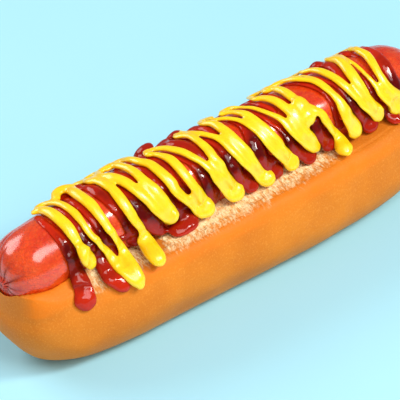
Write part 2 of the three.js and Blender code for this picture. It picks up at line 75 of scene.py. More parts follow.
# Piped sauce: every strand is a row of points, each along the bun, across from the crest of
# the sausage, and half as wide as the strand is there. A fourth number lifts it further up.
MUSTARD_STRANDS = {
    "first": [(-71.7, -5.5, 1.2), (-70.1, -5.6, 1.5), (-69.1, -3, 1.8), (-68.7, 0.5, 2),
        (-68.5, 4.1, 2.1), (-68.1, 7.6, 2.2), (-67.9, 10.9, 2.1), (-67.7, 13.8, 1.8),
        (-67.7, 16.2, 1.5, 0.3), (-67.8, 19.3, 2.2, 0.7), (-67.4, 21.2, 3.1, 1.1),
        (-66.8, 22.8, 3.6, 1.2), (-66, 24, 3.2, 1.1)],
    "second": [(-70.6, -6.6, 1.1), (-68.2, -8.8, 1.3), (-65.8, -8.2, 1.3), (-64.2, -4.7, 1.3),
        (-63.4, -1, 1.3), (-63, 2.6, 1.4), (-62.7, 5.9, 1.5), (-62.6, 9.2, 1.28),
        (-62.4, 12.6, 1.38), (-61.5, 16.3, 1.38), (-60.1, 20.3, 1.48), (-58, 23.4, 1.7),
        (-56.9, 26, 1.8), (-56.7, 29.9, 1.8), (-56, 31.6, 1.9), (-55.2, 33.5, 1.9),
        (-53.9, 35.2, 2.1), (-53.2, 36.8, 1.5)],
    "third": [(-57.8, -11.1, 1.6), (-54.8, -11.8, 1.8), (-56.5, -3.1, 2), (-56.6, 1.6, 2),
        (-56.2, 5.5, 2.1), (-56, 9.4, 1.88), (-55.6, 12.9, 1.78), (-55, 16.8, 1.68),
        (-53.8, 20.5, 1.68), (-52.1, 24.3, 1.78), (-51.9, 28, 2), (-52.3, 31.2, 2.1),
        (-52.6, 33.5, 2.1), (-52.7, 35.2, 2.1), (-52.9, 36.4, 1.6)],
    "fourth": [(-48.3, -9.5, 1.2), (-48.6, -5.3, 1.3), (-47.3, -3.5, 1.2), (-46.8, 0.3, 1.6),
        (-46.2, 4.3, 1.8), (-46.2, 7.7, 2), (-46, 11.3, 2.1), (-45.5, 14.9, 2.1),
        (-44.8, 18.2, 2.1), (-43.3, 21.3, 2.2), (-42.7, 24.3, 2.5), (-42.6, 27, 3),
        (-43.2, 30.5, 3.2), (-43.4, 32, 3.2)],
    "fifth": [(-42.1, -10.5, 1.2, 0.3), (-43.9, -5, 1.3), (-42.9, -1.7, 1.7), (-42.1, 0.9, 1.9),
        (-40.7, 4.6, 2), (-39.7, 8, 2), (-38.5, 11.3, 2.1), (-37.3, 14.3, 2.1), (-35.9, 17.9, 2.3),
        (-33.6, 21.2, 2.3), (-31.9, 22.4, 2.2)],
    "sixth": [(-39.1, -9.4, 1.4, 0.3), (-36.8, -8.4, 1.5, 0.3), (-35.9, -3.3, 1.5),
        (-35.6, -0.9, 1.6), (-35.2, 3.1, 1.7), (-35, 6.1, 1.8), (-34.1, 9, 1.9),
        (-33.1, 12.1, 2.1), (-32.2, 15.3, 2.1), (-31.4, 18.4, 2.3), (-30.3, 21.4, 2.6),
        (-31, 21.9, 3.2)],
    "seventh": [(-41.3, -8.2, 1.3, 0.3), (-38.4, -8.9, 1.5, 0.3), (-34.3, -11.3, 1.5),
        (-31.6, -10, 1.5), (-30.6, -1.9, 1.5), (-28.8, 1.9, 1.7), (-28.2, 5.5, 1.9),
        (-27.5, 8.8, 2.1), (-26.7, 12.1, 2.2), (-26.2, 15.3, 2.2), (-24.5, 18.6, 2.2),
        (-22, 21.7, 2.2), (-19.9, 24.5, 2.3), (-18.8, 25.8, 2.5)],
    "eighth": [(-25.6, -1.7, 1.3), (-24.2, -1.8, 1), (-22.9, 0.9, 1.2), (-21.6, 4.3, 1.7),
        (-21.1, 7.7, 1.8), (-20.7, 10.8, 1.9), (-20, 14.1, 2), (-19, 17.6, 2.1), (-17.5, 21, 2.5),
        (-16.2, 24.1, 2.8), (-16.7, 25.6, 3.5)],
    "ninth": [(-23.4, -4.1, 1.3), (-22.4, -4.8, 1), (-19.2, -1.5, 1.2), (-17.6, 1.3, 1.4),
        (-15.8, 4.1, 1.5), (-14.3, 7.2, 1.5), (-12.7, 9.9, 1.5), (-11.4, 12.7, 1.6),
        (-10.3, 15.4, 1.8), (-9.8, 18.4, 1.9), (-8.2, 21.6, 2.1), (-6.1, 24.6, 2.3),
        (-5, 25.9, 2.5)],
    "tenth": [(-9.9, -6.8, 1.2), (-11.4, -6, 0.9), (-9, -2.4, 1.1), (-8.4, 1.1, 1.3),
        (-8, 4.5, 1.5), (-7.7, 7.5, 1.7), (-7.5, 11, 1.8), (-6.6, 13.9, 1.8), (-6.3, 17.2, 1.9),
        (-5, 20.2, 2.1), (-2.7, 23.7, 2.5), (-3.4, 25.7, 3.2)],
    "eleventh": [(-6.8, -8.6, 1.2), (-7.4, -6.3, 0.8), (-6.7, -3, 0.9), (-4.9, 0.3, 1.1),
        (-2.9, 3.3, 1.1), (-1.6, 5.5, 1.3), (-0.7, 8.4, 1.5), (0, 11.6, 1.6), (1.3, 14.8, 1.7),
        (2.6, 17.8, 1.8), (5, 21.2, 1.9), (7.3, 24.1, 2.3), (8.8, 25.9, 2.5)],
    "twelfth": [(2.9, -11.2, 1.2), (0, -6, 1), (1.5, -2.6, 1.4), (2, 0.6, 1.7), (2.1, 2.8, 1.8),
        (2.8, 6.4, 1.9), (3.6, 9.5, 1.8), (4.5, 12.3, 1.8), (5.5, 15.3, 1.8), (6.4, 18.4, 1.9),
        (8.5, 21.7, 2.1), (10.5, 25, 2.6), (9.9, 26.2, 3.2)],
    "thirteenth": [(4.4, -5.2, 1.2), (4.2, -3.6, 0.8), (6.1, -2, 0.9), (7.7, -0.3, 0.9),
        (9.6, 2.3, 0.9), (10.7, 4.8, 1.1), (11.7, 7.6, 1.3), (12.5, 10.1, 1.3), (13.3, 13, 1.5),
        (14.3, 16.5, 1.6), (15.9, 19.7, 1.7), (18.8, 23, 1.9), (20.9, 24.9, 2)],
    "fourteenth": [(8.5, -5.4, 1.2), (7.7, -5.5, 0.9), (10.1, -3.9, 1), (11.8, -1.6, 1.1),
        (13.3, 1.5, 1.5), (14.2, 4.8, 1.6), (15, 7.7, 1.6), (16, 10.7, 1.7), (17, 13.5, 1.7),
        (18.2, 16.6, 1.8), (19.4, 20, 1.9), (21.8, 23.4, 2.5), (21.6, 25.4, 3)],
    "fifteenth": [(14.2, -4.2, 1), (14.2, -5, 0.7), (16.2, -1.9, 0.7), (17.8, 0.4, 0.8),
        (19.1, 3.1, 0.9), (20.6, 5.7, 1), (22.2, 8.2, 1.2), (23.5, 10.9, 1.5), (24.1, 13.5, 1.6),
        (25.1, 16.2, 1.7), (26.7, 19.1, 1.8), (29.1, 22, 2.1), (31.6, 23.8, 2.3)],
    "sixteenth": [(24.1, -11.1, 0.9), (22, -4.2, 1), (23.7, -2.2, 1.2), (25.3, 0.6, 1.5),
        (26.4, 3.7, 1.7), (27.1, 6.7, 1.8), (27.7, 9.5, 1.8), (28.5, 12.5, 1.8), (29.1, 15.2, 1.8),
        (30.2, 18, 1.8), (31.8, 20.7, 2.1), (33.1, 23.5, 2.8)],
    "seventeenth": [(30.5, -9.7, 1.1), (28.4, -6.2, 1.1), (30.6, -4.6, 1.2), (31.4, -2.1, 1.5),
        (31.9, 1.6, 1.7), (32.2, 4.8, 1.8), (33.4, 7.7, 1.7), (35, 10.4, 1.6), (38.1, 14.2, 1.8),
        (39.1, 17.7, 2), (40.7, 21, 2.1), (42.7, 24.1, 2.2), (43.1, 26.7, 2.6), (42.2, 29.7, 3.2)],
    "eighteenth": [(32.7, -8.7, 1), (37.2, -8.1, 1.1), (40.1, -3.5, 1.1), (41.6, -1.2, 1.1),
        (43.4, 1.5, 1), (44.5, 4.5, 1.1), (45.2, 7, 1.2), (46.2, 9.9, 1.4), (47, 13.3, 1.8),
        (47.4, 17, 2.4), (48.2, 20.7, 3.2), (49.9, 24.5, 3.9)],
    "thin": [(42, -6.5, 0.5), (43.6, -3.3, 0.5), (44.8, 0.2, 0.6), (45.8, 3.4, 0.7),
        (46.4, 6.1, 0.7), (46.7, 8.6, 0.8), (47.1, 11.3, 0.9)],
    "nineteenth": [(48, -11.2, 1.1), (46.3, -7.6, 1), (48, -5, 1.1), (49.2, -1.3, 1.4),
        (50.1, 2, 1.5), (51.1, 5.3, 1.6), (51.9, 8.3, 1.7), (52.7, 11, 1.7), (53.5, 13.5, 1.5),
        (54.8, 16.4, 1.6), (55.8, 18.8, 1.6), (58.2, 21.5, 1.8), (60.4, 23.9, 2.1)],
    "twentieth": [(59.9, -10.5, 1.3), (58, -7, 1.3), (58.4, -4, 1.6), (58.6, -1.4, 1.8),
        (57.9, 2.6, 1.9), (57.4, 6, 2.1), (57.3, 9.2, 2.1), (57.7, 11.9, 2), (58.1, 14.4, 1.8),
        (58.7, 17.1, 1.8), (60.2, 19.8, 1.9), (62, 22.4, 2.2), (61.9, 24.1, 2.5)],
    "twenty-first": [(61.6, -4.1, 0.6), (62.2, -5.5, 0.7), (61.5, -1.6, 0.7), (61.6, 2, 0.7),
        (61.9, 5.5, 0.8), (62.3, 8.5, 0.8), (63, 11.6, 1), (63.6, 14.4, 1.2), (64.1, 17.1, 1.6),
        (65.6, 19.8, 1.9), (67.9, 22.4, 2.5), (68.5, 23.5, 2.4)],
    "twenty-second": [(71.5, -10.5, 1.3), (68.7, -7.6, 1.1), (69, -5, 1.3), (68.3, -1.9, 1.4),
        (68.4, 1.8, 1.6), (67.8, 5.2, 1.6), (67.3, 8.2, 1.5), (67.1, 11.1, 1.5), (67.5, 14.4, 1.7),
        (68.7, 17.5, 1.9), (70.3, 20.4, 2.5), (70.8, 22.8, 3.4), (70, 24.2, 3)],
    "fold": [(-45.2, 23.4, 1.3), (-44.2, 25.2, 1.8), (-43, 27.2, 2.4)],
    "dollop": [(31.2, 5.6, 2.2), (32.2, 8.4, 3.1), (32.6, 11.2, 3.1), (33, 13, 2.3),
        (33, 14.3, 2.6)],
    "fill ninth": [(-7.7, 16.3, 0.9), (-6, 20.8, 1.4), (-4.4, 25, 1.2)],
    "fill thirteenth": [(15.1, 13, 0.8), (16.8, 17.8, 1.3), (19.3, 22.8, 1.2)],
    "fill fifteenth": [(26.5, 12.5, 0.8), (27.4, 15.9, 1.2), (28.8, 19.6, 1)],
    "fill seventh": [(-21.4, 18.1, 0.9), (-19.7, 21.9, 1.5), (-18.7, 24.7, 1.3)],
    "left loop": [(-62.9, -4.6, 1.2), (-61.4, -7.8, 1.6, 0.5), (-59.8, -9.6, 1.7, 1.1),
        (-57.4, -9.4, 1.8, 1.1), (-55.2, -7.5, 1.7, 0.5)],
    "fill hole one": [(24.7, 11.1, 0.9), (25.2, 14, 1.5), (25.9, 16.2, 0.9)],
    "fill hole two": [(-37.2, 6.7, 0.9), (-37.1, 9, 1.4), (-36.6, 10.8, 0.9)],
    "fill hole three": [(-45, -9.5, 0.9), (-47, -4, 1.4), (-47.5, 0, 0.9)],
}
MUSTARD_TURNS = [
    ("first", "second"), ("third", "fourth"), ("fourth", "fifth"), ("sixth", "seventh"),
    ("eighth", "ninth"), ("tenth", "eleventh"), ("twelfth", "thirteenth"),
    ("fourteenth", "fifteenth"), ("sixteenth", "seventeenth"),
    ("seventeenth", "eighteenth"), ("thin", "nineteenth"), ("twentieth", "twenty-first"),
    ("twenty-first", "twenty-second"),
]
KETCHUP_STRANDS = {
    "band": [(-70.9, -6.1, 1.5), (-72.3, -0.9, 1.6), (-72.2, 3.5, 1.8), (-71.7, 7.6, 2.1),
        (-70.9, 11.8, 2.4), (-70.7, 16, 2.5), (-70.4, 21.1, 2.5), (-70.1, 24.2, 2.9),
        (-70.6, 26.9, 3.2), (-71.1, 30.7, 3.3), (-72, 33.2, 3.8), (-72.7, 35.1, 4),
        (-73.2, 36.4, 3.9)],
    "loop": [(-65.1, -10.2, 1.3), (-64.5, -4.8, 1.3), (-63.9, 0.3, 1.6), (-63.7, 3.9, 1.9),
        (-63.8, 7.6, 2), (-63.9, 10.8, 2.2), (-63.2, 14.3, 2.5), (-62, 17.7, 2.5),
        (-60.3, 21.8, 2.3), (-60.8, 29.4, 3), (-59.7, 32.2, 2.8), (-57.8, 34.6, 2.4),
        (-56, 35.9, 1.6)],
    "second": [(-58.9, -10.2, 1.3), (-58.8, -4.1, 1.3), (-58.7, 0.4, 1.6), (-58.3, 4.4, 1.8),
        (-57.8, 8.3, 1.9), (-57.2, 12.2, 2), (-56.6, 15.8, 2.1), (-55.9, 19.4, 2.2),
        (-54.4, 23, 2.1), (-53.6, 26.5, 2), (-52.9, 30.6, 1.6)],
    "third": [(-49.9, -10.2, 2), (-49.9, -6, 2), (-49.9, 0, 2.5), (-49.3, 4.2, 2.4),
        (-48.8, 8.2, 2.1), (-48, 11.9, 1.9), (-47.5, 15.5, 1.9), (-46.6, 19.4, 2.2),
        (-46.1, 22.8, 2.7), (-47.5, 24.3, 2.1)],
    "fourth": [(-46.9, -10.2, 1.2), (-43, 4.2, 1.2), (-42.3, 6.8, 1.8), (-41.4, 9.7, 2.4),
        (-40.4, 13.2, 3), (-39.4, 16.8, 3.4), (-37.8, 20.5, 3.5), (-34.9, 23.3, 3),
        (-32.8, 25, 2.2)],
    "fourth inner": [(-39.1, 9.5, 1.5), (-37.8, 12.2, 2.1), (-36.5, 15.8, 2.7), (-35.1, 19.4, 2.9),
        (-32.8, 22.9, 2.7)],
    "sliver": [(-37.7, -10.2, 1.1), (-37.8, -6.4, 1.1), (-37.9, -2, 1.3), (-37.3, 1.2, 1.5),
        (-36.5, 4.7, 1.4), (-36, 6.9, 1)],
    "pool": [(-23.6, 25.6, 3.2), (-26.4, 26.6, 3.3), (-29.4, 26.6, 2.9), (-32, 25.4, 1.9)],
    "fifth": [(-33.8, -10.2, 1.1), (-32.1, -3.5, 1.1), (-31.1, 0.4, 1.6), (-30.3, 3.8, 2),
        (-30, 7.4, 1.9), (-29.4, 11.1, 1.9), (-28.4, 14.8, 2), (-26.7, 18.7, 2.2),
        (-24.7, 22.4, 2.6), (-23.2, 24.6, 3.3), (-24, 26.2, 3.6), (-27.2, 26.7, 3.3)],
    "sixth": [(-26.5, -10.2, 1.2), (-26.2, -7.8, 1.2), (-25.7, -3.4, 1.4), (-25, 0.2, 1.8),
        (-24.5, 4.1, 2.1), (-24.2, 7.1, 2), (-23.5, 9.8, 1.4), (-22.4, 12.4, 1.2),
        (-21.3, 15.4, 1.5), (-20.1, 18.2, 1.5)],
    "seventh": [(-25.6, -10.2, 1.2), (-16.5, 5.5, 1.2), (-15, 8.1, 1.6), (-13.8, 11.3, 2.2),
        (-13, 14.6, 2.8), (-12.1, 18.2, 3.5), (-11, 22.1, 3.9), (-10, 24.4, 3.3)],
    "eighth": [(-15.8, -10.2, 1.9), (-15.2, -8, 1.9, 0.3), (-14.2, -4.3, 2.2, 0.3),
        (-12.8, -1, 2.2, 0.2), (-11.4, 2.2, 2), (-10.2, 5.7, 2), (-9, 8.9, 1.7), (-7.9, 12, 1.3)],
    "ninth": [(-11.1, -10.2, 1.1), (-5.1, 0.9, 1.1), (-3.7, 3.5, 1.4), (-2.5, 6.5, 1.8),
        (-1.6, 9.5, 2.4), (-1, 12.5, 3.1), (-0.2, 16, 3.8), (1.3, 19.9, 3.9), (3.9, 24.4, 3.9),
        (4.4, 27.1, 4.1)],
    "tenth": [(6.7, -10.2, 1.2), (9.7, 2.2, 1.2), (10.4, 5.1, 1.9), (10.5, 8.6, 2.7),
        (10.1, 11.9, 3.4), (10.7, 15.1, 3.8), (12, 18.5, 3.9), (14.7, 23.2, 3.96),
        (17, 26.1, 4.4)],
    "eleventh": [(13.6, -10.2, 1.1), (17.8, 0.9, 1.1), (19.1, 4.3, 1.2), (20, 7.7, 1),
        (21.6, 10.5, 1.1), (23, 13.6, 1.8), (24.1, 16.9, 2.9), (25.9, 20.6, 3.6),
        (29.4, 24.4, 3.8), (31, 27.4, 4.1)],
    "twelfth": [(24.1, -10.2, 1.2), (26.3, -6.6, 1.2), (28.6, -3.7, 1.3), (29, 0.8, 1.5),
        (29.8, 4.2, 1.9), (30.1, 7.3, 1.8), (30.4, 10.4, 1.2)],
    "thirteenth": [(36, -10.2, 1), (38.7, -5.7, 1), (40.5, -3.3, 1.2), (42.2, 0.2, 1.4),
        (43.8, 3.4, 1.4), (45, 6.5, 1.5), (45.4, 9.8, 1.4), (45, 13.3, 1.1), (44.9, 16.7, 1.3),
        (45.7, 20.1, 1.5)],
    "fourteenth": [(56.2, -10.2, 1.6, 0.4), (56.2, -8.1, 1.8, 0.4), (56.2, -3.7, 2.2, 0.2),
        (55.6, 0.9, 2), (55.3, 4.5, 1.7), (55.2, 7.6, 1.4), (55.3, 10.7, 0.9)],
    "dark pool": [(35.5, 12.8, 2.3), (36.2, 16.1, 3.5), (37.3, 19.7, 3.9), (39.5, 24, 4.26),
        (40.2, 26.5, 4.6)],
    "fifteenth": [(40.8, -10.2, 1.3), (48.4, 2.5, 1.3), (50.4, 5.1, 1.7), (51.7, 8.1, 2),
        (52.4, 11.1, 2.2), (53, 14.1, 2.6), (54.1, 17.2, 3.1), (57.4, 23, 3.7), (58.5, 27.5, 4.3)],
    "seventeenth": [(62, 5.5, 0.9), (62.1, 9.6, 1.1), (62.5, 13, 1.5), (63.1, 16.3, 1.9),
        (64.3, 19.6, 1.9), (66.7, 22.9, 2.3), (68.3, 25.9, 3), (69.9, 28.1, 3.5)],
    "eighteenth": [(66.3, 7, 1.1), (66.6, 9.8, 1.2), (66.6, 12.8, 1.5), (67.4, 16, 1.2)],
    "last": [(74, -10.2, 1.5), (73.2, -2.8, 1.5), (72.8, 1, 1.9), (72.3, 5.1, 2.3),
        (72.2, 8.9, 2.4), (72.5, 12.5, 2.4), (73.7, 16.4, 2.6), (76.2, 20.7, 2.7),
        (78.9, 25.1, 2.9)],
    "sixteenth": [(63, -9.4, 1.4, 0.6), (64.8, -8.2, 1.6, 0.9), (66.4, -6.4, 1.5, 0.6),
        (67.1, -4.2, 1.2), (67.1, -0.6, 0.9)],
    "upper slip": [(20.6, -10.2, 0.9), (21.6, -6, 1), (22.4, -1.8, 1.2), (23.5, 2, 1.2),
        (24.5, 5.7, 1)],
    "far edge": [(-4.5, -10.4, 1.2), (-2.6, -9.3, 1.6, 0.3), (-0.9, -6, 1.8, 0.3),
        (-0.2, -1.8, 1.7), (0, 2, 1.3), (0.4, 4.3, 0.9)],
    "far drip": [(-21, -6.5, 2.2, 0.5), (-21.8, -9, 3.2, 1.2), (-22.6, -11.5, 3.8, 1.5),
        (-22.8, -14, 3.2, 1)],
    "far bead": [(-5.4, -8.6, 1.6, 0.5), (-5.9, -10.6, 1.8, 0.6)],
    "far arc": [(-44, -8.5, 1.4, 0.6), (-43.4, -10.6, 1.9, 1.1), (-43.4, -12.6, 1.8, 0.9)],
    "bridge": [(-64, -10.2, 1.3, 0.4), (-60, -9.2, 1.8, 0.8), (-55, -8.6, 1.9, 0.8),
        (-49, -9.4, 1.7, 0.5), (-43, -9.8, 1.4, 0.3), (-36, -9, 1.1), (-27, -10.2, 1.1),
        (-17, -9.4, 1.3), (-6, -9.4, 1.3), (6, -9, 1), (16, -9.8, 1), (26, -9, 1), (36, -9.8, 1),
        (46, -9, 1), (56, -10, 1.1), (66, -9.2, 1.1), (76, -9.6, 1)],
    "valley": [(-64, 19.6, 1.15, -0.4), (-56, 18.9, 1.65, -0.4), (-50, 19.4, 1.45, -0.4),
        (-41, 18.8, 1.85, -0.4), (-33, 19.5, 1.65, -0.4), (-24, 18.7, 1.85, -0.4),
        (-15, 19.5, 1.55, -0.4), (-5, 18.8, 1.85, -0.4), (4, 19.4, 1.55, -0.4),
        (13, 18.8, 1.85, -0.4), (22, 19.4, 1.65, -0.4), (31, 18.8, 1.85, -0.4),
        (41, 19.5, 1.55, -0.4), (52, 18.8, 1.85, -0.4), (63, 19.4, 1.65, -0.4),
        (70.5, 19, 1.55, -0.4), (76, 18.6, 0.9, -0.4)],
    "far bead two": [(-8.8, -7, 2, 0.4), (-9, -9.2, 2.8, 1), (-9.2, -11.5, 3.2, 1.3),
        (-9.4, -13.5, 2.8, 0.9)],
    "far bead three": [(54.4, -7, 1.6, 0.5), (54.2, -9.2, 2.2, 1), (54.2, -11.5, 2.6, 1.2),
        (54.2, -13, 2.2, 0.9)],
    "far bead four": [(-14.2, -7, 1.6, 0.4), (-14.2, -9.2, 2, 0.8), (-14.4, -11.5, 2.2, 0.9),
        (-14.6, -13.5, 1.8, 0.6)],
}


# ---- numbers that several pieces share ----
def smoothstep(x, low, high):
    t = np.clip((x - low) / (high - low), 0, 1)
    return t * t * (3 - 2 * t)


def lerp(a, b, t):
    return a + (b - a) * t


def mound(x, at, width):
    return np.exp(-(((x - at) / width) ** 2))


def sag(x):
    """How far the hot dog droops towards its ends."""
    drop = np.where(np.asarray(x) < 0, LEFT_DROP, RIGHT_DROP)
    return drop * np.abs(2 * np.asarray(x) / BUN_LENGTH) ** 4


def lip_rise(x, side):
    """The split lies higher against the sausage near its left end."""
    left = -np.asarray(x)
    rise = 2.1 * smoothstep(left, 38, 66) + 2.0 * smoothstep(left, 78, 88)
    return rise * (1 - smoothstep(np.abs(side), 12.5, 23))


def rim_curve(x):
    """Places and directions down the bun's rounded side, with the length down to each."""
    turns = np.linspace(0, math.pi / 2, 60)
    tall = BUN_HEIGHT - BUN_BASE_ROUND
    inset = BUN_RIM_ROUND * (1 - np.sin(turns)) * (1 - 0.5 * smoothstep(-x, 74, 89))
    power = BUN_LEFT_ROUND if x < 0 else BUN_RIGHT_ROUND
    share = np.clip(abs(x) / (BUN_LENGTH / 2 - inset), 0, 0.999) ** power
    side = (BUN_WIDTH / 2 - inset) * (1 - share) ** (1 / BUN_SIDE_ROUND)
    places = np.stack([side, BUN_BASE_ROUND + tall * np.cos(turns)], 1)
    along = np.gradient(places, axis=0)
    along /= np.linalg.norm(along, axis=1)[:, None]
    outward = np.stack([-along[:, 1], along[:, 0]], 1)
    steps = np.linalg.norm(np.diff(places, axis=0), axis=1)
    return places, outward, np.concatenate([[0], np.cumsum(steps)])


def sausage_radius(x):
    """Radius of the sausage at a place along it, domed towards its ends."""
    reach = np.where(np.asarray(x) < 0, LEFT_REACH, 0)
    left = np.clip(SAUSAGE_LENGTH / 2 + reach - np.abs(x), 0, SAUSAGE_END)
    blunt = np.where(np.asarray(x) < 0, LEFT_BLUNTNESS, RIGHT_BLUNTNESS)
    return SKIN_RADIUS * np.sqrt(np.clip(1 - (1 - left / SAUSAGE_END) ** blunt, 0, 1))


def bumps(points, size, seed, detail=2):
    """Soft noise between -1 and 1 at each point, with lumps about as large as size."""
    shift = Vector((seed * 13.7, seed * 7.1, seed * 3.3))
    return np.array([
        noise.fractal(Vector(p) / size + shift, 0.6, 2.0, detail) for p in points
    ])


def new_mesh(name, points, faces):
    mesh = bpy.data.meshes.new(name)
    mesh.from_pydata([tuple(p) for p in np.asarray(points) * MM], [], faces)
    mesh.update()
    return mesh


def ring_faces(rows, count):
    """Faces between rings of vertices, each ring closed on itself."""
    faces = []
    for row in range(rows - 1):
        for k in range(count):
            a, b = row * count + k, row * count + (k + 1) % count
            faces.append((a, b, b + count, a + count))
    return faces


def vertex_array(mesh, name="co", width=3):
    data = np.zeros(len(mesh.vertices) * width, np.float32)
    mesh.vertices.foreach_get(name, data)
    return data.reshape(-1, width) if width > 1 else data


def move_vertices(mesh, points):
    mesh.vertices.foreach_set("co", np.asarray(points, np.float32).ravel())
    mesh.update()


def set_attribute(mesh, name, values, kind="FLOAT", entry="value"):
    layer = mesh.attributes.new(name, kind, "POINT")
    layer.data.foreach_set(entry, np.asarray(values, np.float32).ravel())


def new_object(name, data):
    made = bpy.data.objects.new(name, data)
    bpy.context.collection.objects.link(made)
    return made


def new_piece(name, mesh, material):
    piece = new_object(name, mesh)
    mesh.materials.clear()
    mesh.materials.append(material)
    return piece


# ---- the surface that sauce lies on ----
def drape(x, across, lift):
    """Side and height of sauce so far across: over sausage, valley, ledge and rim in turn."""
    fall = math.atan2(LEDGE_FALL, LEDGE_EDGE - LIP_OUT)
    out = np.array([math.cos(fall), -math.sin(fall)])
    up = np.array([math.sin(fall), math.cos(fall)])
    axis = np.array([0, SAUSAGE_HEIGHT])
    lip = np.array([LIP_OUT, LIP_HEIGHT])
    radius = SAUSAGE_RADIUS + lift
    base = lip + up * (lift + VALLEY_ROUND) - axis
    along = base @ out
    reach = math.sqrt(along**2 - base @ base + (radius + VALLEY_ROUND) ** 2) - along
    valley = base + out * reach + axis
    foot = math.atan2(valley[0] - axis[0], valley[1] - axis[1])
    left = abs(across)
    if left < radius * foot:
        turn = left / radius
        return axis + radius * np.array([math.sin(turn), math.cos(turn)])
    left -= radius * foot
    bend = VALLEY_ROUND * (foot - fall)
    if left < bend:
        turn = foot - left / VALLEY_ROUND
        return valley - VALLEY_ROUND * np.array([math.sin(turn), math.cos(turn)])
    left -= bend
    ledge = valley - up * (VALLEY_ROUND + lift)
    places, outward, lengths = rim_curve(x)
    rim = lip + out * ((places[0, 0] - LIP_OUT) / out[0])
    flat = max(0, (rim - ledge) @ out)
    if left < flat:
        return ledge + up * lift + out * left
    left -= flat
    place = np.array([np.interp(left, lengths, column) for column in places.T])
    away = np.array([np.interp(left, lengths, column) for column in outward.T])
    away = lerp(up, away, float(smoothstep(left, 0, 2)))
    below = max(0, left - lengths[-1])
    return place + away / np.linalg.norm(away) * lift - np.array([0, below])


def drape_point(x, across, lift):
    """A place on that surface, lowered and raised along the bun as the pieces below are."""
    side, height = drape(x, across, lift)
    on_bun = smoothstep(abs(across), 15, 19)
    lower = sag(x) * height / lerp(SAUSAGE_HEIGHT, BUN_HEIGHT, on_bun)
    height += float(on_bun * lip_rise(x, side) - lower)
    return np.array([x, side if across < 0 else -side, height])


# ---- node helpers ----
def add(tree, kind, **inputs):
    """A node, with the values of its inputs or of its own settings given by name."""
    made = tree.nodes.new(kind)
    for name, value in inputs.items():
        key = name.replace("_", " ")
        if hasattr(made, name) and key not in made.inputs:
            setattr(made, name, value)
        else:
            made.inputs[key].default_value = value
    return made


def new_material(name):
    material = bpy.data.materials.new(name)
    material.use_nodes = True
    tree = material.node_tree
    shader = tree.nodes["Principled BSDF"]
    return material, tree, shader


def placed(tree, scale=(1, 1, 1)):
    """Object coordinates in millimetres, stretched as asked."""
    place = add(tree, "ShaderNodeTexCoord")
    mapping = add(tree, "ShaderNodeMapping", Scale=tuple(s / MM for s in scale))
    tree.links.new(place.outputs["Object"], mapping.inputs["Vector"])
    return mapping.outputs["Vector"]


def noise_at(tree, where, size, detail=3.0, rough=0.55, distort=0.0):
    made = add(
        tree, "ShaderNodeTexNoise", Scale=1 / size, Detail=detail, Roughness=rough,
        Distortion=distort,
    )
    tree.links.new(where, made.inputs["Vector"])
    return made.outputs["Fac"]


def ramp(tree, value, low, high, to_low=0.0, to_high=1.0):
    made = add(tree, "ShaderNodeMapRange", clamp=True, From_Min=low, From_Max=high,
               To_Min=to_low, To_Max=to_high)
    tree.links.new(value, made.inputs["Value"])
    return made.outputs["Result"]


def mixed(tree, share, first, second):
    """A colour between two, each either a colour or an output."""
    made = add(tree, "ShaderNodeMix", data_type="RGBA")
    tree.links.new(share, made.inputs["Factor"])
    for name, value in (("A", first), ("B", second)):
        socket = next(s for s in made.inputs if s.name == name and s.type == "RGBA")
        if isinstance(value, tuple):
            socket.default_value = (*value, 1)
        else:
            tree.links.new(value, socket)
    return next(s for s in made.outputs if s.type == "RGBA")


def math_node(tree, operation, first, second):
    made = add(tree, "ShaderNodeMath", operation=operation)
    for socket, value in zip(made.inputs, (first, second)):
        if isinstance(value, (int, float)):
            socket.default_value = value
        else:
            tree.links.new(value, socket)
    return made.outputs[0]


def attribute(tree, name):
    return add(tree, "ShaderNodeAttribute", attribute_name=name).outputs["Fac"]


def bump_from(tree, shader, *layers):
    """Bump from several heights, each with its depth in millimetres."""
    normal = None
    for height, depth in layers:
        made = add(tree, "ShaderNodeBump", Strength=1.0, Distance=depth * MM)
        tree.links.new(height, made.inputs["Height"])
        if normal is not None:
            tree.links.new(normal, made.inputs["Normal"])
        normal = made.outputs["Normal"]
    tree.links.new(normal, shader.inputs["Normal"])


def finish_shader(tree, shader, **values):
    """Sets inputs of the shader, each from a value or from another node's output."""
    for name, value in values.items():
        socket = shader.inputs[name.replace("_", " ")]
        if isinstance(value, bpy.types.NodeSocket):
            tree.links.new(value, socket)
        else:
            socket.default_value = value


